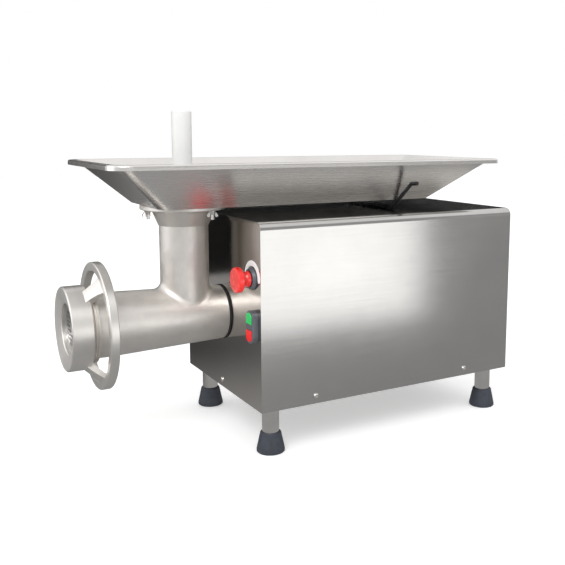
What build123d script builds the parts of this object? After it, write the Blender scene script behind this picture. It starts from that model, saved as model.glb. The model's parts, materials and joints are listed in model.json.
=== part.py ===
"""Electric meat grinder: cast steel head, boxed motor and gears, feed tray and pusher.

Millimetres, +Z up. The outlet faces -Y, the operator's switches are on +X, and the origin is at
the centre of the overall footprint on the floor. Distances "ahead" are measured from the front
panel's outer face towards the outlet, so a piece inside the drive box has a negative one.
"""

import os
from math import atan, cos, hypot, pi, radians, sin, sqrt, tan

from build123d import *

# ---------------------------------------------------------------- driving dimensions
casing_width = 317.0
casing_length = 506.0
casing_height = 300.0
sheet = 1.5
bend_radius = 12.0
gap = 0.2

nose_reach = 262.0
gland_reach = 24.0
overall_length = casing_length + nose_reach + gland_reach

foot_height = 34.0
foot_bottom_r = 23.0
foot_top_r = 16.5
leg_lift = 76.0
leg_r = 14.0
leg_x = 130.0
leg_set_in = (29.0, 475.0)

head_z = 209.0
barrel_rear_r = 45.5
barrel_front_r = 51.5
barrel_bore_r = 41.0
chamber_r = 49.3
collar_r = 58.0
throat_ahead = 64.0
throat_r = 40.0
throat_bore_r = 34.0
flange_r = 70.0
flange_top = 395.0
flange_thickness = 7.0

nut_r = 66.5
nut_rear = 229.0
hand_ring_r = 101.0
hand_ring_inner_r = 87.0
hand_ring_rear = 201.0
hand_ring_front = 215.0
web_angles = (57.0, 177.0, 297.0)
web_half_sweep = 13.0
lip_r = 39.8

plate_r = 49.0
plate_rear = 238.0
plate_thickness = 11.0
plate_hole_r = 2.8

gear_distance = 75.0
slow_module, slow_teeth, slow_pinion_teeth = 2.5, 44, 16
fast_module, fast_teeth, fast_pinion_teeth = 2.0, 57, 18

motor_r = 73.0
fin_r = 79.0

tray_half_width = 149.5
tray_rim_top = 466.0
tray_sheet = 1.5
hem_depth = 8.0
wing_bolt_r = 60.0
wing_angles = (270.0, 30.0, 150.0)

pusher_r = 16.0
pusher_top = 546.0

estop_x, estop_z = 128.0, 286.0
switch_x, switch_z = 135.0, 211.0

# ---------------------------------------------------------------- reference planes and axes
front_y = nose_reach - overall_length / 2
rear_y = front_y + casing_length
casing_top = leg_lift + casing_height
casing_mid = leg_lift + casing_height / 2
throat_y = front_y - throat_ahead
layshaft_z = head_z + gear_distance
inner_half = casing_width / 2 - sheet - gap
pan_floor = leg_lift + sheet
pan_flange_top = leg_lift + 24.0

panel = Plane(origin=(0, front_y, 0), x_dir=(1, 0, 0), z_dir=(0, -1, 0))
rear = Plane(origin=(0, rear_y, 0), x_dir=(1, 0, 0), z_dir=(0, -1, 0))
nose = Plane(origin=(0, front_y, head_z), x_dir=(1, 0, 0), z_dir=(0, -1, 0))
lay = Plane(origin=(0, front_y, layshaft_z), x_dir=(1, 0, 0), z_dir=(0, -1, 0))
head_axis = Axis((0, front_y, head_z), (0, -1, 0))
lay_axis = Axis((0, front_y, layshaft_z), (0, -1, 0))


def radial_plane(angle=90.0, height=head_z, x=0.0):
    """Plane through an axis along Y: local x is ahead, local y is the radius at `angle`."""
    turned_to = radians(angle)
    return Plane(
        origin=(x, front_y, height), x_dir=(0, -1, 0), z_dir=(-sin(turned_to), 0, cos(turned_to))
    )


def turn(points, plane=radial_plane(), axis=head_axis, mode=Mode.ADD):
    """Revolve a closed outline of (ahead, radius) points."""
    with BuildSketch(plane) as outline:
        with BuildLine():
            Polyline(*points, close=True)
        make_face()
    revolve(outline.sketch, axis=axis, mode=mode)


def turn_upright(points, x=0.0, y=0.0, mode=Mode.ADD):
    """Revolve a closed outline of (radius, z) points about a vertical axis."""
    with BuildSketch(Plane(origin=(x, y, 0), x_dir=(1, 0, 0), z_dir=(0, -1, 0))) as outline:
        with BuildLine():
            Polyline(*points, close=True)
        make_face()
    revolve(outline.sketch, axis=Axis((x, y, 0), (0, 0, 1)), mode=mode)


def ring(plane, start, end, outer, inner=0.0, at=((0, 0),), mode=Mode.ADD):
    """Discs or rings on `plane`, from `start` to `end` along its normal."""
    with BuildSketch(plane.offset(start)) as outline:
        with Locations(*at):
            Circle(outer)
            if inner > 0:
                Circle(inner, mode=Mode.SUBTRACT)
    extrude(outline.sketch, amount=end - start, mode=mode)


def block(low, high, mode=Mode.ADD):
    """A box between two corners."""
    with BuildSketch(Plane.XY.offset(low[2])) as outline:
        with Locations(((low[0] + high[0]) / 2, (low[1] + high[1]) / 2)):
            Rectangle(high[0] - low[0], high[1] - low[1])
    extrude(outline.sketch, amount=high[2] - low[2], mode=mode)


def hexagon(plane, start, end, across_flats, at=((0, 0),), mode=Mode.ADD):
    """Hexagonal heads or nuts on `plane`."""
    with BuildSketch(plane.offset(start)) as outline:
        with Locations(*at):
            RegularPolygon(across_flats / 2, 6, major_radius=False)
    extrude(outline.sketch, amount=end - start, mode=mode)


def save(builder, name):
    """Label a finished piece and write it as a STEP file."""
    builder.part.label = name
    export_step(builder.part, f"parts/{name}.step")


os.makedirs("parts", exist_ok=True)


# ---------------------------------------------------------------- drive box
def box_section(inset, bottom=leg_lift):
    """The drive box's outline across its length, `inset` inside its outer skin."""
    top = casing_top - inset
    with BuildSketch() as outline:
        with Locations((0, (bottom + top) / 2)):
            Rectangle(casing_width - 2 * inset, top - bottom)
        fillet(outline.vertices().group_by(Axis.Y)[-1], bend_radius - inset)
    return outline.sketch


side_screw_y = (front_y + 97.0, front_y + 405.0)
side_screw_z = leg_lift + 13.0
panel_screw_z = leg_lift + 12.0
return_depth = 14.0
spigot_hole_r = 39.0
control_hole_r = 11.2

with BuildPart() as casing_cover:
    with BuildSketch(panel):
        add(box_section(0))
        add(box_section(sheet, leg_lift - 1), mode=Mode.SUBTRACT)
    extrude(amount=-casing_length)
    with BuildSketch(Plane.YZ):
        with Locations(*[(y, side_screw_z) for y in side_screw_y]):
            Circle(2.4)
    extrude(amount=casing_width, both=True, mode=Mode.SUBTRACT)
save(casing_cover, "casing_cover")


def end_panel(plane, inward):
    """A panel inside the cover's end, with returns that stop above the base pan's flange."""
    with BuildSketch(plane) as skin:
        add(box_section(sheet + gap))
    extrude(skin.sketch, amount=inward * return_depth)
    with BuildSketch(plane.offset(inward * sheet)) as hollow:
        add(box_section(2 * sheet + gap, leg_lift - 1))
        with Locations((0, (leg_lift + pan_flange_top) / 2)):
            Rectangle(casing_width, pan_flange_top - leg_lift + 2)
    extrude(hollow.sketch, amount=inward * return_depth, mode=Mode.SUBTRACT)


with BuildPart() as front_panel:
    end_panel(panel, -1)
    with BuildSketch(panel):
        with Locations((0, head_z)):
            Circle(spigot_hole_r)
        with Locations((estop_x, estop_z), (switch_x, switch_z)):
            Circle(control_hole_r)
        with Locations((0, panel_screw_z)):
            Circle(2.4)
    extrude(amount=-2 * sheet, mode=Mode.SUBTRACT)
save(front_panel, "front_panel")

gland_at = (-112.0, leg_lift + 40.0)
cable_bore_r = 5.5
with BuildPart() as rear_panel:
    end_panel(rear, 1)
    with BuildSketch(rear):
        with Locations((0, casing_mid + 10)):
            with GridLocations(104, 15, 2, 9):
                SlotOverall(84, 6)
        with Locations(gland_at):
            Circle(10.2)
        with Locations((0, panel_screw_z)):
            Circle(2.4)
    extrude(amount=2 * sheet, mode=Mode.SUBTRACT)
    # A small hood is pressed out over each louvre.
    with BuildSketch(rear.offset(sheet / 2)):
        with Locations((0, casing_mid + 13.8)):
            with GridLocations(104, 15, 2, 9):
                Rectangle(88, 1.4)
                with Locations((-44.7, -3.5), (44.7, -3.5)):
                    Rectangle(1.4, 7.0)
    extrude(amount=-5.0)
save(rear_panel, "rear_panel")

leg_places = [(x, front_y + y) for x in (-leg_x, leg_x) for y in leg_set_in]
gearbox_foot_bolts = [(x, front_y + y) for x in (-56.0, 56.0) for y in (58.0, 84.0)]
motor_foot_bolts = [(x, front_y + y) for x in (-50.0, 50.0) for y in (215.0, 275.0)]
foot_bolts = gearbox_foot_bolts + motor_foot_bolts
pan_y = (front_y + sheet + gap, rear_y - sheet - gap)

with BuildPart() as base_pan:
    block((-inner_half, pan_y[0], leg_lift), (inner_half, pan_y[1], pan_flange_top))
    block(
        (-inner_half + sheet, pan_y[0] + sheet, pan_floor),
        (inner_half - sheet, pan_y[1] - sheet, pan_flange_top + 1),
        Mode.SUBTRACT,
    )
    with BuildSketch(Plane.XY.offset(leg_lift)):
        with Locations(*leg_places, *foot_bolts):
            Circle(4.3)
        with Locations((0, front_y + 395)):
            with GridLocations(90, 12, 2, 6):
                SlotOverall(70, 5)
    extrude(amount=2 * sheet, mode=Mode.SUBTRACT)
    with BuildSketch(Plane.YZ):
        with Locations(*[(y, side_screw_z) for y in side_screw_y]):
            Circle(2.4)
    extrude(amount=casing_width, both=True, mode=Mode.SUBTRACT)
    with BuildSketch(Plane.XZ):
        with Locations((0, panel_screw_z)):
            Circle(2.4)
    extrude(amount=overall_length, both=True, mode=Mode.SUBTRACT)
save(base_pan, "base_pan")

# ---------------------------------------------------------------- legs
with BuildPart() as leg_tubes:
    for x, y in leg_places:
        turn_upright([(0, 10), (leg_r, 10), (leg_r, leg_lift), (0, leg_lift)], x, y)
        turn_upright([(0, 9), (12.5, 9), (12.5, 70), (4.05, 70), (4.05, 77), (0, 77)], x, y,
                     Mode.SUBTRACT)
save(leg_tubes, "leg_tubes")

with BuildPart() as rubber_feet:
    for x, y in leg_places:
        turn_upright(
            [
                (0, 0),
                (foot_bottom_r - 1.5, 0),
                (foot_bottom_r, 1.5),
                (foot_bottom_r, 5),
                (foot_top_r + 0.6, foot_height - 2),
                (foot_top_r - 1, foot_height),
                (leg_r + 0.05, foot_height),
                (leg_r + 0.05, 9.95),
                (0, 9.95),
            ],
            x,
            y,
        )
save(rubber_feet, "rubber_feet")


# ---------------------------------------------------------------- casing screws
def button_screw(plane, at, grip=8.0):
    """Round-headed screws whose heads stand on `plane`, with the shank behind it."""
    head_height, head_r, shank_r = 2.6, 4.6, 2.3
    for x, y in at:
        place = Plane(origin=plane.from_local_coords((x, y, 0)), x_dir=plane.x_dir,
                      z_dir=plane.z_dir)
        with BuildPart(mode=Mode.PRIVATE) as screw:
            with BuildSketch(place):
                Circle(head_r)
            extrude(amount=head_height)
            fillet(screw.edges().sort_by(Axis(place.origin, place.z_dir))[-1], 2.2)
            with BuildSketch(place):
                Circle(shank_r)
            extrude(amount=-grip)
            with BuildSketch(place.offset(head_height)):
                RegularPolygon(1.6, 6)
            extrude(amount=-1.4, mode=Mode.SUBTRACT)
        add(screw.part)


right_side = Plane(origin=(casing_width / 2, 0, 0), x_dir=(0, 1, 0), z_dir=(1, 0, 0))
left_side = Plane(origin=(-casing_width / 2, 0, 0), x_dir=(0, -1, 0), z_dir=(-1, 0, 0))
rear_out = Plane(origin=(0, rear_y, 0), x_dir=(-1, 0, 0), z_dir=(0, 1, 0))

with BuildPart() as casing_screws:
    button_screw(right_side, [(y, side_screw_z) for y in side_screw_y])
    button_screw(left_side, [(-y, side_screw_z) for y in side_screw_y])
    button_screw(panel, [(0, panel_screw_z)])
    button_screw(rear_out, [(0, panel_screw_z)])
save(casing_screws, "casing_screws")

# ---------------------------------------------------------------- grinder head
thread_pitch = 4.0
collar_rear, collar_front = 216.0, 247.0
throat_joint_z = 362.0
cone_top_r, cone_top_z = 50.0, 386.0
seat_depth = 29.0
barrel_back = 2.6


def collar_outline():
    """Outside of the head along its axis, with the nut's thread as a row of ridges."""
    outline = [
        (-seat_depth, 0),
        (-seat_depth, 37.0),
        (-seat_depth + 1, 38.0),
        (barrel_back, 38.0),
        (barrel_back, barrel_rear_r - 1.0),
        (barrel_back + 1.0, barrel_rear_r),
        (190.0, barrel_front_r),
        (collar_rear, barrel_front_r),
        (collar_rear + 2.0, collar_r),
    ]
    ahead = collar_rear + 5.0
    while ahead + thread_pitch < collar_front - 1.0:
        outline += [(ahead, collar_r), (ahead + 1.6, collar_r - 1.6), (ahead + 3.2, collar_r)]
        ahead += thread_pitch
    return outline + [(collar_front - 1.5, collar_r), (collar_front, collar_r - 1.5),
                      (collar_front, 0)]


with BuildPart() as grinder_head:
    turn(collar_outline())
    with BuildSketch(Plane.XY.offset(head_z)):
        with Locations((0, throat_y)):
            Circle(throat_r)
    extrude(amount=throat_joint_z - head_z)
    throat_root = (
        grinder_head.edges()
        .filter_by(GeomType.BSPLINE)
        .filter_by(lambda edge: edge.center().Z > head_z)
    )
    fillet(throat_root, 13.0)
    turn_upright(
        [
            (0, throat_joint_z),
            (throat_r + 1.2, throat_joint_z),
            (cone_top_r, cone_top_z - 3),
            (cone_top_r + 3, flange_top - flange_thickness),
            (flange_r - 1, flange_top - flange_thickness),
            (flange_r, flange_top - flange_thickness + 1),
            (flange_r, flange_top - 1),
            (flange_r - 1, flange_top),
            (0, flange_top),
        ],
        y=throat_y,
    )
    turn_upright(
        [(0, head_z), (throat_bore_r, head_z), (throat_bore_r, throat_joint_z),
         (46.0, flange_top + 1), (0, flange_top + 1)],
        y=throat_y,
        mode=Mode.SUBTRACT,
    )
    turn(
        [
            (-seat_depth - 1, 0),
            (-seat_depth - 1, 24.0),
            (-6.0, 24.0),
            (-6.0, 20.0),
            (22.0, 20.0),
            (22.0, barrel_bore_r),
            (plate_rear - 11.0, barrel_bore_r),
            (plate_rear - 11.0, chamber_r),
            (collar_front + 1, chamber_r),
            (collar_front + 1, 0),
        ],
        mode=Mode.SUBTRACT,
    )
    wing_places = [
        (wing_bolt_r * cos(radians(a)), throat_y + wing_bolt_r * sin(radians(a)))
        for a in wing_angles
    ]
    ring(Plane.XY, flange_top - 2 * flange_thickness, flange_top + 1, 3.3, at=wing_places,
         mode=Mode.SUBTRACT)
    # Seats for the two lock screws, and the lug that keys the hole plate.
    for side in (-1, 1):
        with BuildSketch(Plane.YZ.offset(side * 34.0)):
            with Locations((front_y + 16.0, head_z)):
                Circle(5.1)
        extrude(amount=side * 6.0, mode=Mode.SUBTRACT)
    with BuildSketch(Plane.XY.offset(head_z - chamber_r - 2)):
        with Locations((0, front_y - plate_rear - 4.5)):
            Circle(2.5)
    extrude(amount=5.4)
save(grinder_head, "grinder_head")

with BuildPart() as barrel_seal:
    ring(nose, 0.05, barrel_back - 0.05, barrel_rear_r + 1.0, 38.1)
    fillet(barrel_seal.edges().filter_by(GeomType.CIRCLE).sort_by(SortBy.RADIUS)[-2:], 0.8)
save(barrel_seal, "barrel_seal")

with BuildPart() as shank_bush:
    ring(nose, -6.0, 20.5, 19.97, 15.05)
save(shank_bush, "shank_bush")

# ---------------------------------------------------------------- feed screw, knife and plate
screw_r = 40.3
screw_pitch = 42.0
screw_start, screw_end = 26.0, 226.0
core_r = 17.0
shank_r = 15.0
tang_half = 9.0
knife_square = 7.0

with BuildPart() as feed_screw:
    with BuildLine() as spiral:
        Helix(
            pitch=screw_pitch,
            height=screw_end - screw_start - 12.0,
            radius=(core_r + screw_r) / 2,
            center=(0, front_y - screw_start - 6.0, head_z),
            direction=(0, -1, 0),
        )
    with BuildSketch(Plane(spiral.line @ 0, x_dir=(0, -1, 0), z_dir=spiral.line % 0)):
        Rectangle(8.0, screw_r - core_r + 4.0)
    sweep(is_frenet=True)
    turn(
        [
            (-8.0, 0),
            (-8.0, 13.0),
            (-6.0, shank_r),
            (22.5, shank_r),
            (22.5, 26.0),
            (screw_start, 26.0),
            (screw_start + 14, core_r),
            (screw_end - 8, core_r),
            (screw_end, 14.0),
            (screw_end + 2.0, 14.0),
            (screw_end + 2.0, 6.0),
            (plate_rear + plate_thickness - 1, 6.0),
            (plate_rear + plate_thickness, 5.0),
            (plate_rear + plate_thickness, 0),
        ]
    )
    turn(
        [(screw_start - 4, screw_r), (screw_start - 4, 60), (screw_end + 9, 60),
         (screw_end + 9, screw_r)],
        mode=Mode.SUBTRACT,
    )
    with BuildSketch(nose.offset(-35.0)):
        Rectangle(2 * tang_half, 2 * tang_half)
    extrude(amount=28.0)
    with BuildSketch(nose.offset(screw_end)):
        Rectangle(2 * knife_square, 2 * knife_square)
    extrude(amount=11.5)
save(feed_screw, "feed_screw")

knife_rear, knife_front = 228.3, 237.8
with BuildPart() as knife:
    with BuildSketch(nose.offset(knife_rear)):
        Circle(17.0)
        with PolarLocations(0, 4):
            Polygon((0, -9), (20, -10), (46.5, -4), (46.5, 5), (20, 8), (0, 9), align=None)
        Rectangle(2 * knife_square + 0.1, 2 * knife_square + 0.1, mode=Mode.SUBTRACT)
    extrude(amount=knife_front - knife_rear)
save(knife, "knife")


def plate_hole_rows():
    """Centres of the plate's holes: a hexagonal field that leaves its hub and rim solid."""
    step = 2 * plate_hole_r + 2.4
    places = []
    for row in range(-5, 6):
        for column in range(-7, 8):
            x = step * (column + row / 2)
            y = step * row * sqrt(3) / 2
            if 12.0 < hypot(x, y) < lip_r - plate_hole_r - 0.5:
                places.append((x, y))
    return places


with BuildPart() as hole_plate:
    with BuildSketch(nose.offset(plate_rear)):
        Circle(plate_r)
        Circle(6.06, mode=Mode.SUBTRACT)
        with Locations(*plate_hole_rows()):
            Circle(plate_hole_r, mode=Mode.SUBTRACT)
        with Locations((0, -plate_r)):
            Rectangle(5.8, 8.0, mode=Mode.SUBTRACT)
    extrude(amount=plate_thickness)
save(hole_plate, "hole_plate")


def polar(radius, degrees):
    """A point on a plane across the head's axis."""
    return (radius * cos(radians(degrees)), radius * sin(radians(degrees)))


def web_outline():
    """The webs seen along the axis: waisted between the nut and the hand ring."""
    waist = web_half_sweep - 3.5
    with BuildSketch() as outline:
        for angle in web_angles:
            low = [polar(nut_r - 8.0, angle - web_half_sweep),
                   polar((nut_r + hand_ring_inner_r) / 2, angle - waist),
                   polar(hand_ring_r - 4.0, angle - web_half_sweep)]
            high = [polar(hand_ring_r - 4.0, angle + web_half_sweep),
                    polar((nut_r + hand_ring_inner_r) / 2, angle + waist),
                    polar(nut_r - 8.0, angle + web_half_sweep)]
            with BuildLine():
                ThreePointArc(*low)
                Line(low[-1], high[0])
                ThreePointArc(*high)
                Line(high[-1], low[0])
            make_face()
    return outline.sketch


plate_front = plate_rear + plate_thickness
dish_depth = 5.0

with BuildPart() as ring_nut_webs:
    turn(
        [
            (nut_rear + 9.0, nut_r - 1.0),
            (nut_rear, nut_r - 6.0),
            (hand_ring_rear + 4.0, hand_ring_inner_r + 1.0),
            (hand_ring_rear + 8.0, hand_ring_inner_r + 5.0),
            (hand_ring_front - 1.0, hand_ring_inner_r + 3.0),
        ]
    )
    with BuildSketch(nose.offset(hand_ring_rear)):
        add(web_outline())
    extrude(amount=nose_reach - hand_ring_rear, mode=Mode.INTERSECT)

with BuildPart() as ring_nut:
    turn(
        [
            (nut_rear, collar_r + 0.4),
            (nut_rear, nut_r - 1.5),
            (nut_rear + 1.5, nut_r),
            (nose_reach - 1.5, nut_r),
            (nose_reach, nut_r - 1.5),
            (nose_reach, nut_r - 2.7),
            (nose_reach - dish_depth, lip_r + 1.2),
            (nose_reach - dish_depth - 1.0, lip_r),
            (plate_front + 0.1, lip_r),
            (plate_front + 0.1, collar_r + 0.4),
        ]
    )
    with BuildSketch(radial_plane()):
        with Locations(((hand_ring_rear + hand_ring_front) / 2,
                        (hand_ring_r + hand_ring_inner_r) / 2)):
            RectangleRounded(hand_ring_front - hand_ring_rear,
                             hand_ring_r - hand_ring_inner_r, 2.0)
    revolve(axis=head_axis)
    add(ring_nut_webs.part)
save(ring_nut, "ring_nut")

# ---------------------------------------------------------------- gearbox
wall = 7.0
cavity_r = 63.0
shell_r = cavity_r + wall
ear_places = [
    (shell_r * cos(radians(a)), head_z + shell_r * sin(radians(a))) for a in (205.0, 335.0)
] + [
    (shell_r * cos(radians(a)), layshaft_z + shell_r * sin(radians(a))) for a in (35.0, 145.0)
]


def stadium(radius):
    """Outline round both gear axes."""
    with BuildSketch() as outline:
        with Locations((0, (head_z + layshaft_z) / 2)):
            SlotCenterToCenter(gear_distance, 2 * radius, rotation=90)
    return outline.sketch


def gearcase(start, end, hollow_start=None, hollow_end=None):
    """One slice of the gear case, with bolt ears and an optional hollow."""
    with BuildSketch(panel.offset(start)) as outline:
        add(stadium(shell_r))
        with Locations(*ear_places):
            Circle(10.0)
    extrude(outline.sketch, amount=end - start)
    if hollow_start is not None:
        with BuildSketch(panel.offset(hollow_start)) as hollow:
            add(stadium(cavity_r))
        extrude(hollow.sketch, amount=hollow_end - hollow_start, mode=Mode.SUBTRACT)


case_front, case_split, case_second_split, case_back = -42.0, -96.0, -114.0, -160.0
ear_bolt_r = 4.0

with BuildPart() as gearbox_front:
    gearcase(case_split, case_front, case_split - 1, -62.0)
    ring(nose, case_front, -2.5, 50.0)
    block((-66, front_y - case_front + 4, pan_floor), (66, front_y - case_split, pan_floor + 10))
    block((-44, front_y - case_front + 4, pan_floor), (44, front_y - case_split - 8, head_z - 64))
    ring(nose, -30.0, -1.0, 38.05, mode=Mode.SUBTRACT)
    ring(nose, case_front - 2, -29.0, 30.0, mode=Mode.SUBTRACT)
    ring(nose, -63.0, -44.0, 36.0, mode=Mode.SUBTRACT)
    ring(lay, -63.0, -47.0, 23.5, mode=Mode.SUBTRACT)
    ring(panel, case_split - 1, case_front + 1, ear_bolt_r + 0.2, at=ear_places,
         mode=Mode.SUBTRACT)
    ring(Plane.XY, leg_lift, head_z - 100, 4.2, at=gearbox_foot_bolts, mode=Mode.SUBTRACT)
    ring(Plane.YZ, -60.0, 60.0, 5.1, at=((front_y + 16.0, head_z),), mode=Mode.SUBTRACT)
save(gearbox_front, "gearbox_front")

with BuildPart() as gearbox_middle:
    gearcase(case_second_split, case_split)
    ring(nose, case_second_split + 2, case_split + 1, 31.0, mode=Mode.SUBTRACT)
    ring(lay, case_second_split - 1, case_split + 1, 14.0, mode=Mode.SUBTRACT)
    ring(panel, case_second_split - 1, case_split + 1, ear_bolt_r + 0.2, at=ear_places,
         mode=Mode.SUBTRACT)
save(gearbox_middle, "gearbox_middle")

with BuildPart() as gearbox_rear:
    gearcase(case_back, case_second_split, -140.0, case_second_split + 1)
    ring(nose, case_back, -150.0, 82.0)
    ring(nose, case_back - 1, -142.0, 26.0, mode=Mode.SUBTRACT)
    ring(nose, -143.0, -139.0, 14.0, mode=Mode.SUBTRACT)
    ring(lay, -154.0, -139.0, 23.5, mode=Mode.SUBTRACT)
    ring(panel, -156.0, case_second_split + 1, ear_bolt_r + 0.05, at=ear_places,
         mode=Mode.SUBTRACT)
save(gearbox_rear, "gearbox_rear")

with BuildPart() as gearbox_bolts:
    ring(panel, -154.0, case_front, ear_bolt_r, at=ear_places)
    hexagon(panel, case_front, case_front + 8, 13.0, ear_places)
save(gearbox_bolts, "gearbox_bolts")

with BuildPart() as head_lock_screws:
    for side in (-1, 1):
        with BuildSketch(Plane.YZ.offset(side * 35.5)):
            with Locations((front_y + 16.0, head_z)):
                Circle(5.0)
        extrude(amount=side * 17.0)
        with BuildSketch(Plane.YZ.offset(side * 52.5)):
            with Locations((front_y + 16.0, head_z)):
                RegularPolygon(8.5, 6, major_radius=False)
        extrude(amount=side * 7.0)
save(head_lock_screws, "head_lock_screws")


def bearing(plane, start, end, outer, bore):
    """A sealed ball bearing as one ring, with the seals set in on both faces."""
    seal_outer, seal_inner = outer - 0.2 * (outer - bore), bore + 0.2 * (outer - bore)
    ring(plane, start, end, outer - 0.02, bore + 0.04)
    ring(plane, start, start + 1.0, seal_outer, seal_inner, mode=Mode.SUBTRACT)
    ring(plane, end - 1.0, end, seal_outer, seal_inner, mode=Mode.SUBTRACT)


with BuildPart() as ball_bearings:
    bearing(nose, -61.0, -44.0, 36.0, 17.5)
    bearing(nose, -112.0, -96.5, 31.0, 15.0)
    bearing(lay, -61.0, -47.0, 23.5, 10.0)
    bearing(lay, -154.0, -140.5, 23.5, 10.0)
    bearing(nose, -158.0, -142.5, 26.0, 12.5)
    bearing(nose, -343.0, -329.5, 23.5, 10.0)
save(ball_bearings, "ball_bearings")

with BuildPart() as output_seal:
    ring(nose, -41.5, -33.0, 29.97, 17.56)
    ring(nose, -39.0, -33.0, 27.0, 20.0, mode=Mode.SUBTRACT)
save(output_seal, "output_seal")


# ---------------------------------------------------------------- gears
def tooth(module, teeth, centre_angle, backlash=0.12, steps=3):
    """One involute tooth as a closed outline that starts and ends inside the gear's body."""
    pitch_r = module * teeth / 2
    base_r = pitch_r * cos(radians(20))
    root_r = pitch_r - 1.25 * module
    tip_r = pitch_r + 0.95 * module
    half_at_pitch = pi / (2 * teeth) - backlash / (2 * pitch_r)
    involute_at_pitch = tan(radians(20)) - radians(20)

    def half_angle(radius):
        """Half of the tooth's width, as an angle, at `radius`."""
        roll = sqrt(max((radius / base_r) ** 2 - 1, 0))
        return half_at_pitch + involute_at_pitch - (roll - atan(roll))

    start_r = max(root_r, base_r)
    radii = [root_r - 0.6 * module] + ([root_r] if root_r < base_r else [])
    radii += [start_r + (tip_r - start_r) * step / steps for step in range(steps + 1)]
    right = [(r, -half_angle(max(r, base_r))) for r in radii]
    flank = right + [(r, -a) for r, a in reversed(right)]
    turned = radians(centre_angle)
    return [(r * cos(turned + a), r * sin(turned + a)) for r, a in flank]


def gear(plane, start, end, module, teeth, first_tooth):
    """A spur gear's toothed body; `first_tooth` is the angle of one tooth's centre."""
    root_r = module * teeth / 2 - 1.25 * module
    with BuildSketch(plane.offset(start)) as outline:
        Circle(root_r)
        for index in range(teeth):
            with BuildLine():
                Polyline(*tooth(module, teeth, first_tooth + 360 * index / teeth), close=True)
            make_face()
    extrude(outline.sketch, amount=end - start)


slow_gear_span = (-91.0, -67.0)
fast_gear_span = (-135.0, -119.0)
key_depth = 4.0

with BuildPart() as output_shaft:
    turn(
        [(-111.5, 0), (-111.5, 14.5), (-111.0, 15.0), (-95.0, 15.0), (-95.0, 19.0),
         (-66.0, 19.0), (-66.0, 22.0), (-62.5, 22.0), (-62.5, 17.5), (-9.0, 17.5), (-9.0, 0)]
    )
    with BuildSketch(nose.offset(-9.0)):
        Rectangle(2 * tang_half + 0.2, 2 * tang_half + 0.2)
    extrude(amount=-27.0, mode=Mode.SUBTRACT)
    block((-5, front_y - slow_gear_span[1] + 1, head_z + 19.0 - key_depth),
          (5, front_y - slow_gear_span[0] - 1, head_z + 23), Mode.SUBTRACT)
save(output_shaft, "output_shaft")

with BuildPart() as output_gear:
    gear(nose, *slow_gear_span, slow_module, slow_teeth, 90.0)
    ring(nose, slow_gear_span[0], slow_gear_span[0] + 6, 44.0, 28.0, mode=Mode.SUBTRACT)
    ring(nose, slow_gear_span[1] - 6, slow_gear_span[1], 44.0, 28.0, mode=Mode.SUBTRACT)
    ring(nose, *slow_gear_span, 19.02, mode=Mode.SUBTRACT)
    with BuildSketch(nose.offset(slow_gear_span[0])):
        with Locations((0, 19.0)):
            Rectangle(10.0, 7.0)
    extrude(amount=24.0, mode=Mode.SUBTRACT)
save(output_gear, "output_gear")

with BuildPart() as output_key:
    block((-4.98, front_y - slow_gear_span[1] + 1.1, head_z + 15.05),
          (4.98, front_y - slow_gear_span[0] - 1.1, head_z + 22.4))
save(output_key, "output_key")

with BuildPart() as layshaft:
    gear(lay, -92.0, -66.0, slow_module, slow_pinion_teeth, 270.0 + 180.0 / slow_pinion_teeth)
    turn(
        [(-153.0, 0), (-153.0, 10.0), (-139.5, 10.0), (-139.5, 12.0), (-94.0, 12.0),
         (-94.0, 15.5), (-64.0, 15.5), (-64.0, 10.0), (-47.5, 10.0), (-47.5, 0)],
        plane=radial_plane(height=layshaft_z),
        axis=lay_axis,
    )
save(layshaft, "layshaft")

with BuildPart() as layshaft_gear:
    gear(lay, *fast_gear_span, fast_module, fast_teeth, 270.0)
    ring(lay, fast_gear_span[0], fast_gear_span[0] + 4, 46.0, 20.0, mode=Mode.SUBTRACT)
    ring(lay, fast_gear_span[1] - 4, fast_gear_span[1], 46.0, 20.0, mode=Mode.SUBTRACT)
    ring(lay, *fast_gear_span, 12.02, mode=Mode.SUBTRACT)
save(layshaft_gear, "layshaft_gear")

# ---------------------------------------------------------------- motor
motor_front, motor_back = -160.0, -330.0
fin_count = 24
tie_angles = (52.5, 127.5, 232.5, 307.5)
tie_places = [(76.5 * cos(radians(a)), 76.5 * sin(radians(a))) for a in tie_angles]

with BuildPart() as motor_housing:
    ring(nose, motor_back, motor_front, motor_r)
    with BuildSketch(nose.offset(motor_back + 6)):
        with PolarLocations(0, fin_count):
            with Locations(((fin_r + motor_r) / 2 - 0.5, 0)):
                Rectangle(fin_r - motor_r + 1, 2.5)
    extrude(amount=motor_front - motor_back - 12)
    ring(nose, motor_back, motor_front, 68.0, mode=Mode.SUBTRACT)
save(motor_housing, "motor_housing")

with BuildPart() as stator_core:
    ring(nose, -290.0, -190.0, 67.9, 42.0)
save(stator_core, "stator_core")

with BuildPart() as stator_windings:
    for start in (-308.0, -189.9):
        with BuildSketch(radial_plane()):
            with Locations((start + 8.95, 54.0)):
                RectangleRounded(17.8, 20.0, 6.0)
        revolve(axis=head_axis)
save(stator_windings, "stator_windings")

with BuildPart() as rotor_core:
    ring(nose, -290.0, -190.0, 41.5, 12.5)
    ring(nose, -296.0, -290.0, 38.0, 30.0)
    ring(nose, -190.0, -184.0, 38.0, 30.0)
save(rotor_core, "rotor_core")

with BuildPart() as motor_shaft:
    gear(nose, -136.0, -118.0, fast_module, fast_pinion_teeth,
         90.0 + 180.0 / fast_pinion_teeth)
    turn(
        [(-378.0, 0), (-378.0, 9.5), (-377.0, 10.0), (-328.0, 10.0), (-328.0, 12.49),
         (-117.5, 12.49), (-117.5, 0)]
    )
save(motor_shaft, "motor_shaft")

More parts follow.
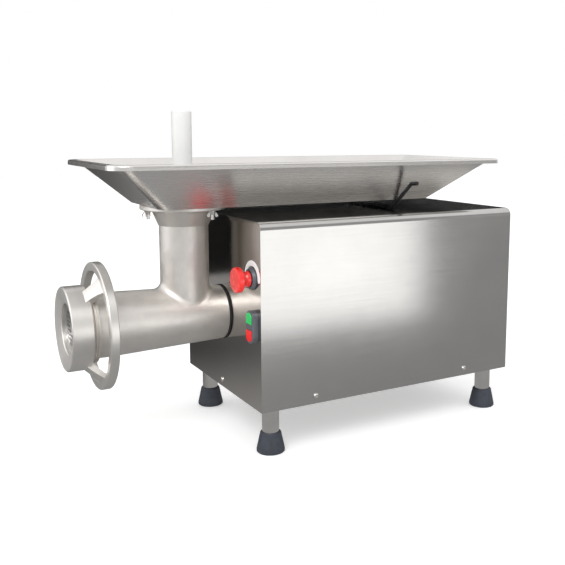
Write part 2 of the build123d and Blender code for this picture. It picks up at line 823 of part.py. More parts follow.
with BuildPart() as motor_end_shield:
    ring(nose, motor_back - 16, motor_back, fin_r)
    ring(nose, motor_back - 20, motor_back - 16, 70.3)
    ring(nose, motor_back - 21, motor_back - 13, 60.0, 30.0, mode=Mode.SUBTRACT)
    ring(nose, motor_back - 14, motor_back + 1, 23.5, mode=Mode.SUBTRACT)
    ring(nose, motor_back - 21, motor_back + 1, 11.0, mode=Mode.SUBTRACT)
    ring(nose, motor_back - 17, motor_back + 1, 2.7, at=tie_places, mode=Mode.SUBTRACT)
save(motor_end_shield, "motor_end_shield")

with BuildPart() as motor_tie_bolts:
    ring(nose, motor_back - 20.5, motor_front - 0.1, 2.5, at=tie_places)
    hexagon(nose, motor_back - 20.5, motor_back - 16.05, 8.0, tie_places)
save(motor_tie_bolts, "motor_tie_bolts")

with BuildPart() as cooling_fan:
    ring(nose, -374.0, -352.0, 16.0)
    ring(nose, -354.5, -352.0, 62.0)
    with BuildSketch(nose.offset(-374.0)):
        with PolarLocations(0, 9):
            with Locations((38.0, 0)):
                Rectangle(47.0, 2.5)
    extrude(amount=20.0)
    ring(nose, -375.0, -351.0, 10.02, mode=Mode.SUBTRACT)
save(cooling_fan, "cooling_fan")

with BuildPart() as fan_cowl:
    ring(nose, -390.0, motor_back - 16.2, 72.0)
    ring(nose, -388.5, motor_back - 15.0, 70.5, mode=Mode.SUBTRACT)
    with BuildSketch(nose.offset(-391.0)):
        for row_r, count in ((16.0, 8), (30.0, 14), (44.0, 20), (58.0, 26)):
            with PolarLocations(row_r, count):
                Circle(4.0)
    extrude(amount=4.0, mode=Mode.SUBTRACT)
save(fan_cowl, "fan_cowl")

with BuildPart() as motor_cradle:
    block((-60, front_y + 197, pan_floor), (60, front_y + 293, pan_floor + 4))
    for ahead in (-205.0, -291.0):
        with BuildSketch(panel.offset(ahead)):
            with Locations((0, (pan_floor + 155) / 2)):
                Rectangle(108, 155 - pan_floor)
            with Locations((0, head_z)):
                Circle(fin_r + 0.1, mode=Mode.SUBTRACT)
        extrude(amount=6.0)
    ring(Plane.XY, leg_lift, pan_floor + 5, 4.2, at=motor_foot_bolts, mode=Mode.SUBTRACT)
save(motor_cradle, "motor_cradle")

# One bolt size holds the gear case, the motor's cradle and the legs to the base pan.
with BuildPart() as base_bolts:
    for places, seat in (
        (gearbox_foot_bolts, pan_floor + 10),
        (motor_foot_bolts, pan_floor + 4),
        (leg_places, pan_floor),
    ):
        hexagon(Plane.XY, seat, seat + 5.5, 13.0, places)
        ring(Plane.XY, leg_lift - 9, seat, 3.98, at=places)
    hexagon(Plane.XY, leg_lift - 6.5, leg_lift, 13.0, foot_bolts)
save(base_bolts, "base_bolts")

# ---------------------------------------------------------------- electrical parts
with BuildPart() as contactor:
    block((-144, front_y + 90, pan_floor), (-99, front_y + 166, pan_floor + 60))
    block((-140, front_y + 104, pan_floor + 60), (-103, front_y + 152, pan_floor + 88))
    fillet(contactor.edges().filter_by(Axis.Z), 1.5)
save(contactor, "contactor")

with BuildPart() as terminal_block:
    for step in range(6):
        start = front_y + 176 + 9 * step
        block((-142, start, pan_floor), (-101, start + 8.6, pan_floor + 30))
        block((-133, start, pan_floor + 30), (-110, start + 8.6, pan_floor + 46))
save(terminal_block, "terminal_block")

capacitor_x, capacitor_z = 116.0, pan_floor + 26.0
capacitor_plane = Plane(origin=(capacitor_x, front_y, capacitor_z), x_dir=(1, 0, 0),
                        z_dir=(0, -1, 0))
with BuildPart() as run_capacitor:
    ring(capacitor_plane, -300.0, -205.0, 22.0)
    fillet(run_capacitor.edges(), 2.0)
    ring(capacitor_plane, -205.5, -198.0, 5.0)
save(run_capacitor, "run_capacitor")

with BuildPart() as capacitor_clip:
    ring(capacitor_plane, -262.0, -242.0, 23.6, 22.05)
    block((capacitor_x - 32, front_y + 242, pan_floor), (capacitor_x + 32, front_y + 262,
                                                         pan_floor + 2.6))
save(capacitor_clip, "capacitor_clip")

gland_plane = Plane(origin=(gland_at[0], rear_y, gland_at[1]), x_dir=(1, 0, 0), z_dir=(0, 1, 0))
with BuildPart() as cable_gland:
    ring(gland_plane, -12.0, 10.0, 10.0)
    hexagon(gland_plane, 0.0, 6.0, 24.0)
    ring(gland_plane, 6.0, 18.0, 12.0)
    ring(gland_plane, 18.0, gland_reach, 9.5)
    chamfer(cable_gland.edges().sort_by(Axis.Y)[-1], 2.0)
    ring(gland_plane, -13.0, 6.0, 7.5, mode=Mode.SUBTRACT)
    ring(gland_plane, 5.0, gland_reach + 1, cable_bore_r, mode=Mode.SUBTRACT)
save(cable_gland, "cable_gland")

# ---------------------------------------------------------------- switches
estop = Plane(origin=(estop_x, front_y, estop_z), x_dir=(1, 0, 0), z_dir=(0, -1, 0))
estop_axis = Axis((estop_x, front_y, estop_z), (0, -1, 0))
estop_profile = radial_plane(height=estop_z, x=estop_x)
switch = Plane(origin=(switch_x, front_y, switch_z), x_dir=(1, 0, 0), z_dir=(0, -1, 0))
button_rise = 14.0
switch_face = 9.5
stem_rise = 7.6
stem_r = 2.6

with BuildPart() as estop_bezel:
    turn(
        [(-16.0, 8.0), (-16.0, 10.9), (0.4, 10.9), (0.4, 18.0), (2.0, 18.0), (6.0, 15.6),
         (6.0, 13.2), (1.8, 13.2), (1.8, 8.0)],
        plane=estop_profile,
        axis=estop_axis,
    )
save(estop_bezel, "estop_bezel")

with BuildPart() as estop_plunger:
    turn(
        [(-24.0, 0), (-24.0, 7.0), (-20.0, 7.92), (12.0, 7.92), (12.0, 0)],
        plane=estop_profile,
        axis=estop_axis,
    )
save(estop_plunger, "estop_plunger")

with BuildPart() as estop_button:
    turn(
        [
            (7.2, 8.0),
            (7.2, 12.6),
            (11.5, 11.8),
            (14.5, 10.0),
            (17.0, 10.6),
            (19.4, 15.5),
            (20.4, 18.6),
            (22.0, 20.0),
            (28.6, 20.0),
            (30.0, 18.8),
            (30.8, 16.0),
            (31.0, 0),
            (12.1, 0),
            (12.1, 8.0),
        ],
        plane=estop_profile,
        axis=estop_axis,
    )
save(estop_button, "estop_button")

with BuildPart() as estop_label:
    with BuildSketch(panel):
        with Locations((estop_x, estop_z)):
            Circle(28.5)
            Circle(20.0, mode=Mode.SUBTRACT)
            with Locations((0, -20)):
                Rectangle(60, 40, mode=Mode.SUBTRACT)
        with Locations((estop_x - 24.25, estop_z), (estop_x + 24.25, estop_z)):
            Circle(4.25)
    extrude(amount=0.35)
save(estop_label, "estop_label")

with BuildPart() as contact_blocks:
    block((estop_x - 19, front_y + 17, estop_z - 16), (estop_x + 19, front_y + 54, estop_z + 16))
    ring(estop, -36.0, -16.5, 9.0, mode=Mode.SUBTRACT)
    block((switch_x - 17, front_y + 17, switch_z - 22),
          (switch_x + 17, front_y + 50, switch_z + 22))
    ring(switch, -34.0, -16.5, 3.4, at=((0, -stem_rise), (0, stem_rise)), mode=Mode.SUBTRACT)
save(contact_blocks, "contact_blocks")

with BuildPart() as panel_nuts:
    for place in (estop, switch):
        ring(place, -6.5, -1.55, 15.0, 10.95)
        with BuildSketch(place.offset(-6.5)):
            with PolarLocations(15.0, 8):
                Rectangle(3.0, 3.0)
        extrude(amount=4.95, mode=Mode.SUBTRACT)
save(panel_nuts, "panel_nuts")


def button_outline(side, grow=0.0):
    """A switch button's outline: square towards the middle, round towards its own end."""
    with BuildSketch() as outline:
        with Locations((0, side * button_rise)):
            Rectangle(18.4 + 2 * grow, 18.0 + 2 * grow)
        outer = outline.vertices().group_by(Axis.Y)[-1 if side > 0 else 0]
        fillet(outer, 8.0 + grow)
    return outline.sketch


with BuildPart() as switch_bezel:
    with BuildSketch(switch):
        RectangleRounded(25.0, 52.0, 12.2)
    extrude(amount=switch_face)
    fillet(switch_bezel.edges().group_by(Axis.Y)[0], 1.2)
    for side in (-1, 1):
        with BuildSketch(switch.offset(2.0)):
            add(button_outline(side, 0.3))
        extrude(amount=switch_face, mode=Mode.SUBTRACT)
    ring(switch, -16.0, 0.0, 10.9)
    ring(switch, -17.0, 3.0, stem_r + 0.08, at=((0, -stem_rise), (0, stem_rise)),
         mode=Mode.SUBTRACT)
save(switch_bezel, "switch_bezel")


def push_button(side):
    """A button cap with its stem, which reaches the contact block."""
    with BuildSketch(switch.offset(5.4)) as cap:
        add(button_outline(side))
    extrude(cap.sketch, amount=5.6)
    ring(switch, -22.0, 6.0, stem_r, at=((0, side * stem_rise),))


with BuildPart() as start_button:
    push_button(1)
    fillet(start_button.edges().group_by(Axis.Y)[0], 1.0)
save(start_button, "start_button")

with BuildPart() as stop_button:
    push_button(-1)
    fillet(stop_button.edges().group_by(Axis.Y)[0], 1.0)
save(stop_button, "stop_button")


def coil_spring(start_ahead, end_ahead, x, z, coil_r, wire_r, turns):
    """A compression spring along Y, from one stop to the other."""
    length = abs(start_ahead - end_ahead) - 2 * wire_r
    first = max(start_ahead, end_ahead) - wire_r
    with BuildLine() as coil:
        Helix(pitch=length / turns, height=length, radius=coil_r,
              center=(x, front_y - first, z), direction=(0, 1, 0))
    with BuildSketch(Plane(coil.line @ 0, z_dir=coil.line % 0)) as wire:
        Circle(wire_r)
    sweep(wire.sketch, path=coil.line, is_frenet=True)


with BuildPart() as estop_spring:
    coil_spring(-35.8, -24.2, estop_x, estop_z, 6.0, 0.6, 4)
save(estop_spring, "estop_spring")

with BuildPart() as start_spring:
    coil_spring(-33.8, -22.2, switch_x, switch_z + stem_rise, 2.4, 0.35, 6)
save(start_spring, "start_spring")

with BuildPart() as stop_spring:
    coil_spring(-33.8, -22.2, switch_x, switch_z - stem_rise, 2.4, 0.35, 6)
save(stop_spring, "stop_spring")

# ---------------------------------------------------------------- tray, its stand and the pusher
tray_front, tray_rear = front_y - 219.5, front_y + 484.0
mouth_half, mouth_front, mouth_rear = 138.7, front_y - 208.0, front_y + 476.3
floor_half, floor_front, floor_rear = 88.0, front_y - 128.0, front_y + 367.0
tray_floor = flange_top + 0.05
hem_bottom = tray_rim_top - hem_depth
hem_sheet = 1.6


def tray_outline(half, start, end, front_r, rear_r):
    """A plan outline of the tray, with its corners rounded."""
    with BuildSketch() as outline:
        with Locations((0, (start + end) / 2)):
            Rectangle(2 * half, end - start)
        fillet(outline.vertices().group_by(Axis.Y)[0], front_r)
        fillet(outline.vertices().group_by(Axis.Y)[-1], rear_r)
    return outline.sketch


def tray_bowl(grow, low, mode=Mode.ADD):
    """The tray's flared body, `grow` outside its inner skin, from `low` up to the rim."""
    with BuildSketch(Plane.XY.offset(low)) as bottom:
        add(tray_outline(floor_half + grow, floor_front - grow, floor_rear + grow,
                         20.0 + grow, 6.0 + grow))
    with BuildSketch(Plane.XY.offset(tray_rim_top)) as top:
        add(tray_outline(mouth_half + grow, mouth_front - grow, mouth_rear + grow,
                         25.0 + grow, 8.0 + grow))
    loft([bottom.sketch, top.sketch], ruled=True, mode=mode)


with BuildPart() as tray:
    # The rim turns outwards and down into a hem that is open underneath.
    with BuildSketch(Plane.XY.offset(hem_bottom)):
        add(tray_outline(tray_half_width, tray_front, tray_rear, 32.0, 9.0))
    extrude(amount=hem_depth)
    fillet(tray.faces().sort_by(Axis.Z)[-1].edges(), 3.0)
    with BuildPart(mode=Mode.SUBTRACT) as hem_space:
        with BuildSketch(Plane.XY.offset(hem_bottom - 1)):
            add(tray_outline(tray_half_width - hem_sheet, tray_front + hem_sheet,
                             tray_rear - hem_sheet, 32.0 - hem_sheet, 9.0 - hem_sheet))
        extrude(amount=hem_depth + 1 - tray_sheet)
        fillet(hem_space.faces().sort_by(Axis.Z)[-1].edges(), 1.5)
    tray_bowl(tray_sheet, tray_floor)
    tray_bowl(0.0, tray_floor + tray_sheet, Mode.SUBTRACT)
    with BuildSketch(Plane.XY.offset(flange_top - 1)):
        with Locations((0, throat_y)):
            Circle(46.0)
    extrude(amount=5, mode=Mode.SUBTRACT)
    ring(Plane.XY, flange_top - 22, flange_top + 1, 2.98, at=wing_places)
save(tray, "tray")


def wing_nut(place, ears_at):
    """A wing nut under the throat's flange, stopped with its ears along `ears_at` degrees."""
    x, y = place
    seat = flange_top - flange_thickness - 0.05
    turn_upright([(3.04, seat - 7), (4.2, seat - 7), (5.4, seat - 1), (5.4, seat), (3.04, seat)],
                 x, y)
    turned_to = radians(ears_at)
    middle = Plane(origin=(x, y, seat), x_dir=(cos(turned_to), sin(turned_to), 0),
                   z_dir=(sin(turned_to), -cos(turned_to), 0))
    for side in (-1, 1):
        with BuildSketch(middle.offset(-1.6)) as ear:
            with BuildLine():
                Polyline((side * 3.5, -5.8), (side * 4.2, -1.5), (side * 8.6, -6.8),
                         (side * 8.6, -9.6), (side * 6.6, -11.4), (side * 4.6, -10.2), close=True)
            make_face()
            fillet(ear.vertices().sort_by(Axis.Z)[:4], 1.3)
        extrude(ear.sketch, amount=3.2)


with BuildPart() as wing_nut_front:
    wing_nut(wing_places[0], 90.0)
save(wing_nut_front, "wing_nut_front")

with BuildPart() as wing_nut_right:
    wing_nut(wing_places[1], 75.0)
save(wing_nut_right, "wing_nut_right")

with BuildPart() as wing_nut_left:
    wing_nut(wing_places[2], 140.0)
save(wing_nut_left, "wing_nut_left")

rod_r = 3.5
rod_z = casing_top + rod_r + 0.05
rod_y = front_y + 299.0
with BuildPart() as tray_stand:
    with BuildLine():
        FilletPolyline(
            (-150, rod_y, rod_z + 47),
            (-134, rod_y, rod_z + 46),
            (-76, rod_y, rod_z),
            (76, rod_y, rod_z),
            (134, rod_y, rod_z + 46),
            (150, rod_y, rod_z + 47),
            radius=8.0,
        )
    with BuildSketch(Plane(origin=(-150, rod_y, rod_z + 47), z_dir=(16, 0, -1))):
        Circle(rod_r)
    sweep()
save(tray_stand, "tray_stand")

piston_r, piston_bottom = 32.5, 252.0
with BuildPart() as pusher:
    turn_upright(
        [
            (0, piston_bottom),
            (piston_r - 4, piston_bottom),
            (piston_r, piston_bottom + 4),
            (piston_r, piston_bottom + 16),
            (piston_r - 3, piston_bottom + 19),
            (pusher_r + 6, piston_bottom + 24),
            (pusher_r, piston_bottom + 34),
            (pusher_r, pusher_top - 1.5),
            (pusher_r - 1.5, pusher_top),
            (0, pusher_top),
        ],
        y=throat_y,
    )
save(pusher, "pusher")
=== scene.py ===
"""Electric meat grinder in stainless steel: finishes, fine detail, light and camera."""

import json
import math

import bpy
from mathutils import Matrix, Vector


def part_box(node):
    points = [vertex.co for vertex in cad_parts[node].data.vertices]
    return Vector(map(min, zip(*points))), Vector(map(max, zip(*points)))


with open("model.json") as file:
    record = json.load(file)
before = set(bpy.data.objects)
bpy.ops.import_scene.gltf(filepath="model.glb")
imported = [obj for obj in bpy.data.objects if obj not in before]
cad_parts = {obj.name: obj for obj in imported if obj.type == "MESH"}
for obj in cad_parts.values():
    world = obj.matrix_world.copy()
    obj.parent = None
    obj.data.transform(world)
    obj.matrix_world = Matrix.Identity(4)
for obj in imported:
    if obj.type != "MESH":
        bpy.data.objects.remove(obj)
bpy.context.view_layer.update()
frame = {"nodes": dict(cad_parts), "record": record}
nodes = frame["nodes"]


def middle(node):
    """The centre of a node's box."""
    low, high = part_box(node)
    return Vector([(a + b) / 2 for a, b in zip(low, high)])


head_centre = middle("ring_nut")


# ------------------------------------------------------------------ materials
# Sockets of the colour mix node, which share their names with its other data types.
mix_first, mix_second, mix_result = 6, 7, 2
# The middle of a noise's range, which is stretched to the whole of an effect's range.
texture_low, texture_high = 0.25, 0.75
smoothest = 0.03  # the lowest roughness that a texture may give

# Brushed sheet: the grain's scale across the brushing and along it, and depths in metres.
grain_across, grain_along = 1600.0, 9.0
brushed_along_x, brushed_along_y = 0, 1
sheet_wave = 0.00012
scratch_depth = 0.000005

# Turned metal: the grooves' scale, and their depth in metres.
groove_scale = 420.0
groove_depth = 0.000018


class Shader:
    """A material's node tree, with short ways to add the textures that the finishes share."""

    def __init__(self, name, colour, roughness, metallic=0.0, **sockets):
        self.material = bpy.data.materials.new(name)
        self.material.use_nodes = True
        self.material.diffuse_color = (*colour, 1)
        self.tree = self.material.node_tree
        self.surface = self.tree.nodes["Principled BSDF"]
        self.colour, self.roughness, self.normal = colour, roughness, None
        self.surface.inputs["Metallic"].default_value = metallic
        self.surface.inputs["Base Color"].default_value = (*colour, 1)
        self.surface.inputs["Roughness"].default_value = roughness
        for socket, value in sockets.items():
            self.surface.inputs[socket.replace("_", " ")].default_value = value

    def add(self, kind, **settings):
        node = self.tree.nodes.new(kind)
        for name, value in settings.items():
            setattr(node, name, value)
        return node

    def link(self, source, target):
        self.tree.links.new(source, target)

    def place(self, stretch=(1, 1, 1), centre=(0, 0, 0)):
        """Object coordinates about `centre`, scaled by `stretch`."""
        coordinates = self.add("ShaderNodeTexCoord")
        shift = self.add("ShaderNodeVectorMath", operation="SUBTRACT")
        shift.inputs[1].default_value = tuple(centre)
        scale = self.add("ShaderNodeVectorMath", operation="MULTIPLY")
        scale.inputs[1].default_value = stretch
        self.link(coordinates.outputs["Object"], shift.inputs[0])
        self.link(shift.outputs[0], scale.inputs[0])
        return scale.outputs[0]

    def noise(self, scale, stretch=(1, 1, 1), detail=3.0, rough=0.55):
        texture = self.add("ShaderNodeTexNoise")
        texture.inputs["Scale"].default_value = scale
        texture.inputs["Detail"].default_value = detail
        texture.inputs["Roughness"].default_value = rough
        self.link(self.place(stretch), texture.inputs["Vector"])
        return texture.outputs["Fac"]

    def rings(self, scale, centre):
        """Turned grooves: rings about the line along Y through `centre`."""
        texture = self.add("ShaderNodeTexWave", wave_type="RINGS", rings_direction="Y",
                           wave_profile="SIN")
        texture.inputs["Scale"].default_value = scale
        texture.inputs["Distortion"].default_value = 0.6
        texture.inputs["Detail"].default_value = 2.0
        self.link(self.place(centre=centre), texture.inputs["Vector"])
        return texture.outputs["Fac"]

    def bands(self, scale):
        """Layers stacked along Y."""
        texture = self.add("ShaderNodeTexWave", wave_type="BANDS", bands_direction="Y",
                           wave_profile="SIN")
        texture.inputs["Scale"].default_value = scale
        texture.inputs["Distortion"].default_value = 0.3
        self.link(self.place(), texture.inputs["Vector"])
        return texture.outputs["Fac"]

    def spread(self, source, low, high):
        """Map a 0..1 texture to low..high."""
        ramp = self.add("ShaderNodeMapRange")
        ramp.inputs["From Min"].default_value = texture_low
        ramp.inputs["From Max"].default_value = texture_high
        ramp.inputs["To Min"].default_value = low
        ramp.inputs["To Max"].default_value = high
        self.link(source, ramp.inputs["Value"])
        return ramp.outputs[0]

    def tint(self, source, amount, warm=0.0):
        """Let a texture lighten and darken the base colour by `amount`, with less blue if warm."""
        mix = self.add("ShaderNodeMix", data_type="RGBA")
        dark = [max(c * (1 - amount), 0) for c in self.colour]
        light = [min(c * (1 + amount), 1) for c in self.colour]
        light[2] *= 1 - warm
        mix.inputs[mix_first].default_value = (*dark, 1)
        mix.inputs[mix_second].default_value = (*light, 1)
        self.link(self.spread(source, 0.0, 1.0), mix.inputs[0])
        self.link(mix.outputs[mix_result], self.surface.inputs["Base Color"])
        return self

    def polish(self, source, amount):
        """Let a texture change the roughness by `amount` either way."""
        value = self.spread(source, max(self.roughness - amount, smoothest),
                            min(self.roughness + amount, 1.0))
        self.link(value, self.surface.inputs["Roughness"])
        return self

    def relief(self, source, depth):
        """Add a texture's relief, `depth` metres deep."""
        bump = self.add("ShaderNodeBump")
        bump.inputs["Distance"].default_value = depth
        bump.inputs["Strength"].default_value = 1.0
        self.link(source, bump.inputs["Height"])
        if self.normal:
            self.link(self.normal, bump.inputs["Normal"])
        self.normal = bump.outputs[0]
        self.link(self.normal, self.surface.inputs["Normal"])
        return self


def sheet_metal(name, colour, roughness, along, grain=0.04):
    """Brushed sheet: grain along one axis, faint waves in the sheet and soft patches."""
    stretch = [grain_across, grain_across, grain_across]
    stretch[along] = grain_along
    s = Shader(name, colour, roughness, 1.0)
    brushed = s.noise(1.0, tuple(stretch), detail=2.0)
    s.tint(s.noise(9.0, detail=4.0), 0.05, 0.01)
    s.polish(brushed, grain)
    s.relief(s.noise(5.0, detail=1.0), sheet_wave)
    s.relief(brushed, scratch_depth)
    return s.material


def turned_metal(name, colour, roughness, centre):
    """Turned metal: fine rings about its own axis, which runs along Y."""
    s = Shader(name, colour, roughness, 1.0)
    rings = s.rings(groove_scale, centre)
    s.tint(s.noise(26.0, detail=5.0), 0.07, 0.02)
    s.polish(rings, 0.05)
    s.relief(rings, groove_depth)
    s.relief(s.noise(90.0, detail=4.0), 0.00006)
    return s.material


def cast_metal(name, colour, roughness):
    """Cast and blasted metal: fine grain, soft hollows and darker patches."""
    s = Shader(name, colour, roughness, 1.0)
    s.tint(s.noise(18.0, detail=6.0, rough=0.62), 0.09, 0.03)
    s.polish(s.noise(60.0, detail=5.0), 0.09)
    s.relief(s.noise(22.0, detail=3.0), 0.0004)
    s.relief(s.noise(300.0, detail=6.0, rough=0.7), 0.0003)
    return s.material


def bright_metal(name, colour, roughness):
    """Small bright or plated parts."""
    s = Shader(name, colour, roughness, 1.0)
    s.tint(s.noise(40.0, detail=4.0), 0.08, 0.02)
    s.polish(s.noise(160.0, detail=3.0), 0.07)
    s.relief(s.noise(700.0, detail=2.0), 0.00002)
    return s.material


def plastic(name, colour, roughness, amount=0.06, **sockets):
    """Moulded plastic: a fine orange-peel skin and a slight change of shade."""
    s = Shader(name, colour, roughness, 0.0, **sockets)
    s.tint(s.noise(30.0, detail=4.0), amount)
    s.polish(s.noise(120.0, detail=3.0), 0.05)
    s.relief(s.noise(900.0, detail=2.0), 0.00003)
    return s.material


def rubber(name, colour):
    """Matt moulded rubber with a dusty bloom."""
    s = Shader(name, colour, 0.62, 0.0)
    s.tint(s.noise(45.0, detail=6.0, rough=0.7), 0.35)
    s.polish(s.noise(80.0, detail=4.0), 0.12)
    s.relief(s.noise(1100.0, detail=3.0), 0.00008)
    return s.material


def banded(name, colour, roughness, scale, metallic, depth):
    """Wound wire or stacked laminations."""
    s = Shader(name, colour, roughness, metallic)
    bands = s.bands(scale)
    s.tint(bands, 0.22)
    s.polish(s.noise(90.0, detail=3.0), 0.08)
    s.relief(bands, depth)
    return s.material


finishes = {
    "casing_steel": sheet_metal("casing_steel", (0.56, 0.55, 0.538), 0.19,
                                brushed_along_y),
    "panel_steel": sheet_metal("panel_steel", (0.58, 0.55, 0.52), 0.10,
                               brushed_along_x, 0.03),
    "cast_steel": cast_metal("cast_steel", (0.78, 0.75, 0.725), 0.48),
    "nut_steel": turned_metal("nut_steel", (0.78, 0.755, 0.73), 0.42, head_centre),
    "tray_steel": sheet_metal("tray_steel", (0.78, 0.76, 0.74), 0.27,
                              brushed_along_y, 0.05),
    "leg_steel": bright_metal("leg_steel", (0.74, 0.72, 0.70), 0.12),
    "foot_rubber": rubber("foot_rubber", (0.030, 0.036, 0.050)),
    "seal_rubber": rubber("seal_rubber", (0.014, 0.014, 0.015)),
    "bright_fasteners": bright_metal("bright_fasteners", (0.72, 0.70, 0.68), 0.18),
    "zinc_fasteners": bright_metal("zinc_fasteners", (0.62, 0.62, 0.58), 0.32),
    "stand_black": plastic("stand_black", (0.012, 0.012, 0.014), 0.28),
    "screw_steel": cast_metal("screw_steel", (0.62, 0.61, 0.60), 0.32),
    "knife_steel": turned_metal("knife_steel", (0.55, 0.55, 0.56), 0.28, head_centre),
    "bush_bronze": turned_metal("bush_bronze", (0.58, 0.40, 0.20), 0.30, head_centre),
    "case_aluminium": cast_metal("case_aluminium", (0.64, 0.65, 0.66), 0.45),
    "shaft_steel": turned_metal("shaft_steel", (0.58, 0.58, 0.59), 0.22, head_centre),
    "gear_steel": bright_metal("gear_steel", (0.42, 0.42, 0.43), 0.34),
    "lamination_steel": banded("lamination_steel", (0.32, 0.32, 0.33), 0.42, 300.0, 1.0,
                               0.00008),
    "winding_copper": banded("winding_copper", (0.50, 0.20, 0.08), 0.34, 180.0, 0.6,
                             0.0003),
    "fan_plastic": plastic("fan_plastic", (0.035, 0.036, 0.040), 0.45),
    "cowl_steel": plastic("cowl_steel", (0.16, 0.17, 0.18), 0.40),
    "capacitor_can": turned_metal("capacitor_can", (0.66, 0.66, 0.67), 0.30,
                                  middle("run_capacitor")),
    "gland_plastic": plastic("gland_plastic", (0.03, 0.03, 0.034), 0.42),
    "switch_grey": plastic("switch_grey", (0.085, 0.092, 0.105), 0.34),
    "estop_red": plastic("estop_red", (0.72, 0.022, 0.018), 0.26, Coat_Weight=0.4,
                         Coat_Roughness=0.12),
    "label_white": plastic("label_white", (0.86, 0.86, 0.85), 0.45),
    "start_green": plastic("start_green", (0.0, 0.50, 0.10), 0.22, Coat_Weight=0.4,
                           Coat_Roughness=0.10),
    "stop_red": plastic("stop_red", (0.78, 0.008, 0.008), 0.22, Coat_Weight=0.4,
                        Coat_Roughness=0.10),
    "spring_steel": bright_metal("spring_steel", (0.58, 0.58, 0.58), 0.26),
    "pusher_white": plastic("pusher_white", (0.74, 0.74, 0.73), 0.36, amount=0.03,
                            Subsurface_Weight=0.12, Subsurface_Radius=(0.004, 0.003, 0.003)),
}
for part in frame["record"]["subparts"]:
    node = nodes[part["node"]]
    node.data.materials.clear()
    node.data.materials.append(finishes[part["material_slot"]])


# ------------------------------------------------------------------ camera
# Metres, degrees and millimetres of lens.
camera_place = (1.22945, -0.63988, 0.51105)
camera_azimuth = 59.77
camera_elevation = 7.75
camera_roll = 0.19
lens_length = 50.07
sensor_width = 36.0
lens_shift = (-0.080, -0.075)


def make_camera():
    """The camera at the viewing angle, with the small shift that its framing needs."""
    data = bpy.data.cameras.new("camera")
    data.lens = lens_length
    data.sensor_width = sensor_width
    data.shift_x, data.shift_y = lens_shift
    camera = bpy.data.objects.new("camera", data)
    bpy.context.scene.collection.objects.link(camera)
    azimuth = math.radians(camera_azimuth)
    elevation = math.radians(camera_elevation)
    roll = math.radians(camera_roll)
    back = Vector((math.sin(azimuth) * math.cos(elevation),
                   -math.cos(azimuth) * math.cos(elevation), math.sin(elevation)))
    turn = back.to_track_quat("Z", "Y").to_matrix() @ Matrix.Rotation(roll, 3, "Z")
    camera.matrix_world = Matrix.Translation(camera_place) @ turn.to_4x4()
    bpy.context.scene.camera = camera


make_camera()


# ------------------------------------------------------------------ stage and light
# Half widths, places along X and Y, and heights, all in metres.
floor_half = 8.0
floor_card_half = 7.0
floor_card_lift = 0.002
# The reflected floor's glow, plus a painted shade of the machine: a dimmer glow at its centre that
# fades out over its reach.
floor_glow, painted_shade_glow = 0.34, 0.07
painted_shade_centre, painted_shade_reach = (-0.55, -0.25, 0), 0.6
side_x = 0.86
side_start = -0.22
side_card_end, side_card_top = 0.70, 0.35
side_shade_end, side_shade_low, side_shade_top = 2.4, 0.36, 0.9
outlet_card_ends = (-0.9, -1.35), (0.15, -1.5)
outlet_card_low, outlet_card_top = 0.1, 1.4
far_x, far_start, far_end = -1.1, -0.8, 4.0
far_low, far_top = 0.06, 1.0
side_glow, shade_glow, outlet_glow, far_glow = 1.8, 0.42, 1.75, 0.01
key_place, key_target = (1.4, -1.4, 1.9), (0, 0, 0.25)
key_size, key_power = (1.2, 1.2), 26


def stage_sheet(name, corners, material):
    """A flat sheet of the studio, in the order of its corners."""
    mesh = bpy.data.meshes.new(name)
    mesh.from_pydata(corners, [], [(0, 1, 2, 3)])
    mesh.materials.append(material)
    sheet = bpy.data.objects.new(name, mesh)
    bpy.context.scene.collection.objects.link(sheet)
    return sheet


def level(half, z):
    """The corners of a level square about the origin."""
    return [(-half, -half, z), (half, -half, z), (half, half, z), (-half, half, z)]


def upright(start, end, low, high):
    """The corners of an upright wall from `start` to `end`."""
    return [(*start, low), (*end, low), (*end, high), (*start, high)]


def glow(name, strength, near=None, centre=(0, 0, 0), reach=1.0):
    """An even light, or one that goes from `near` at `centre` to `strength` at `reach`."""
    material = bpy.data.materials.new(name)
    material.use_nodes = True
    tree = material.node_tree
    tree.nodes.clear()
    output = tree.nodes.new("ShaderNodeOutputMaterial")
    emission = tree.nodes.new("ShaderNodeEmission")
    emission.inputs["Strength"].default_value = strength
    tree.links.new(emission.outputs[0], output.inputs["Surface"])
    if near is not None:
        coordinates = tree.nodes.new("ShaderNodeTexCoord")
        distance = tree.nodes.new("ShaderNodeVectorMath")
        distance.operation = "DISTANCE"
        distance.inputs[1].default_value = centre
        ramp = tree.nodes.new("ShaderNodeMapRange")
        ramp.interpolation_type = "SMOOTHSTEP"
        ramp.inputs["From Max"].default_value = reach
        ramp.inputs["To Min"].default_value = near
        ramp.inputs["To Max"].default_value = strength
        tree.links.new(coordinates.outputs["Object"], distance.inputs[0])
        tree.links.new(distance.outputs["Value"], ramp.inputs["Value"])
        tree.links.new(ramp.outputs[0], emission.inputs["Strength"])
    return material


def only_reflected(sheet):
    """Keep a studio card out of sight: it is there for the metal to reflect."""
    sheet.visible_camera = False
    sheet.visible_diffuse = False
    sheet.visible_shadow = False
    sheet.visible_transmission = False


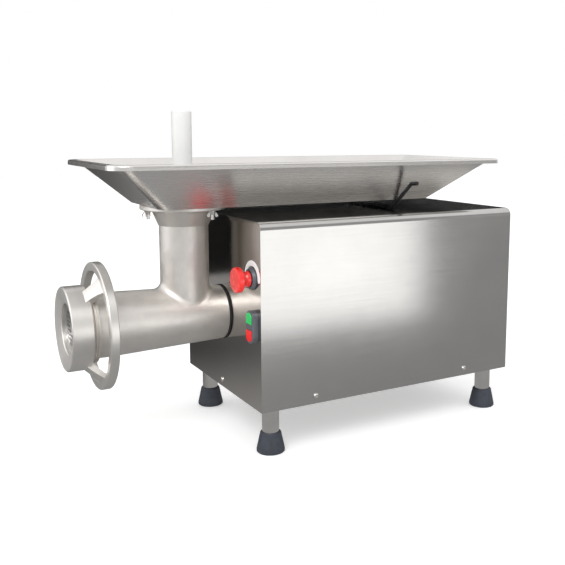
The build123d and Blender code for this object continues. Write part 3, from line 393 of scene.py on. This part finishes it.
def reflected_wall(name, start, end, low, high, strength):
    """An upright card that only the metal sees."""
    only_reflected(stage_sheet(name, upright(start, end, low, high),
                               glow(name + "_glow", strength)))


def area_light(name, place, target, size, power):
    """A rectangular lamp at `place`, aimed at `target`."""
    data = bpy.data.lights.new(name, "AREA")
    data.shape = "RECTANGLE"
    data.size, data.size_y = size
    data.energy = power
    light = bpy.data.objects.new(name, data)
    light.location = place
    light.rotation_euler = (Vector(target) - Vector(place)).to_track_quat("-Z", "Y").to_euler()
    bpy.context.scene.collection.objects.link(light)


def floor_paint():
    """White paint that glows a little, so that the floor fades into the background."""
    paint = bpy.data.materials.new("floor_paint")
    paint.use_nodes = True
    shader = paint.node_tree.nodes["Principled BSDF"]
    shader.inputs["Base Color"].default_value = (0.92, 0.92, 0.92, 1)
    shader.inputs["Roughness"].default_value = 0.8
    shader.inputs["Emission Color"].default_value = (1, 1, 1, 1)
    shader.inputs["Emission Strength"].default_value = 0.32
    return paint


def white_world():
    """An even white surround."""
    world = bpy.data.worlds.new("world")
    bpy.context.scene.world = world
    world.use_nodes = True
    background = world.node_tree.nodes["Background"]
    background.inputs["Color"].default_value = (1, 1, 1, 1)
    background.inputs["Strength"].default_value = 1.0


def make_stage():
    stage_sheet("floor", level(floor_half, 0), floor_paint())
    # What the metal sees of the floor: grey, with the machine's shade painted into its glow,
    # darkest near the machine.
    floor_light = glow("floor_glow", floor_glow, painted_shade_glow, painted_shade_centre, painted_shade_reach)
    only_reflected(stage_sheet("floor_card", level(floor_card_half, floor_card_lift), floor_light))
    # White on the operator's side with grey above it, white at the outlet, dark beyond.
    reflected_wall("side_card", (side_x, side_start), (side_x, side_card_end),
                   0, side_card_top, side_glow)
    reflected_wall("side_shade", (side_x, side_start), (side_x, side_shade_end),
                   side_shade_low, side_shade_top, shade_glow)
    reflected_wall("outlet_card", *outlet_card_ends, outlet_card_low, outlet_card_top,
                   outlet_glow)
    reflected_wall("far_card", (far_x, far_start), (far_x, far_end), far_low, far_top, far_glow)
    white_world()
    area_light("key", key_place, key_target, key_size, key_power)
    bpy.context.scene.view_settings.view_transform = "Standard"


make_stage()
